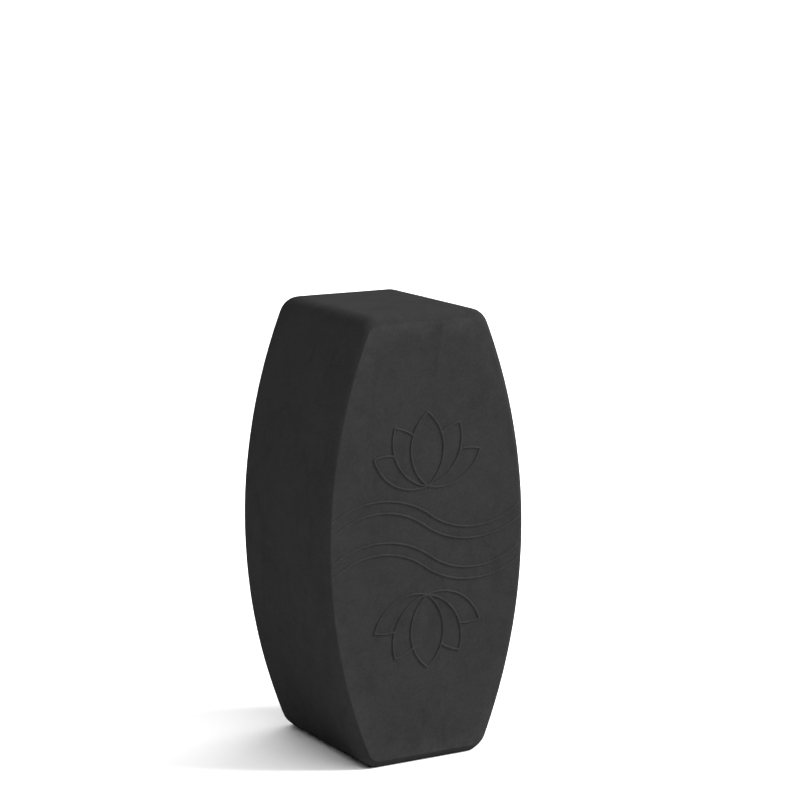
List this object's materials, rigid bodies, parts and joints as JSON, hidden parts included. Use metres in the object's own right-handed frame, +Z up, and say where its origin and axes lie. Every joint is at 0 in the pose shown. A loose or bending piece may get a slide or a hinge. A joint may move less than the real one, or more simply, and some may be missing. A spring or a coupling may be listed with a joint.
{
  "type": "foam exercise block",
  "caption": "Solid foam block with flat faces and ends, long sides that bow outwards, rounded edges and thin raised lines, for balance, support and stretching exercises.",
  "frame": {"origin": "centre of the short end that the block stands on", "axes": "+Z up along the block's length, X across its bowed sides, Y through its thickness; a large face looks to -Y"},
  "size_m": [0.156, 0.1226, 0.305],
  "materials": {
    "foam": "matte"
  },
  "bodies": {
    "root": {"foam_block": "foam"}
  },
  "joints": []
}
